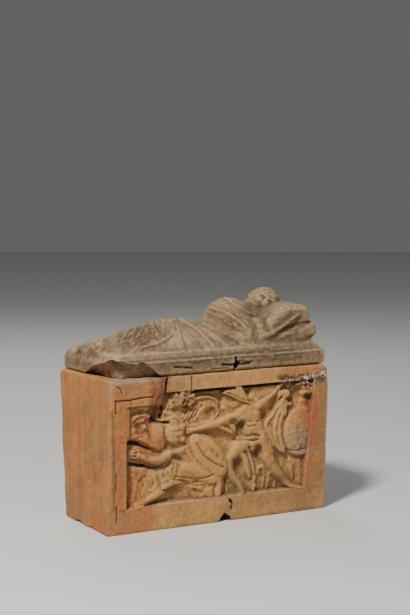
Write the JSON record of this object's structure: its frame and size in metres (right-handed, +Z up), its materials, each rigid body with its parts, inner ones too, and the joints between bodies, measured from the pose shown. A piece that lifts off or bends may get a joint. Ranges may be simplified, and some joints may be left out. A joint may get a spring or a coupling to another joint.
{
  "type": "cinerary urn",
  "caption": "Rectangular terracotta ash urn with a framed battle relief on its front and a loose lid shaped as a draped sleeper on a cushioned couch.",
  "frame": {"origin": "middle of the footprint, on the plane the chest stands on", "axes": "+X along the chest's length, to the right as one faces the relief; +Y from the relief to the back; +Z up"},
  "size_m": [0.4046, 0.1759, 0.3527],
  "materials": {
    "orange_terracotta": "matte fired clay, worn",
    "weathered_terracotta": "matte fired clay with grey deposits"
  },
  "bodies": {
    "root": {"urn_chest": "orange_terracotta", "urn_lid": "weathered_terracotta"}
  },
  "joints": []
}
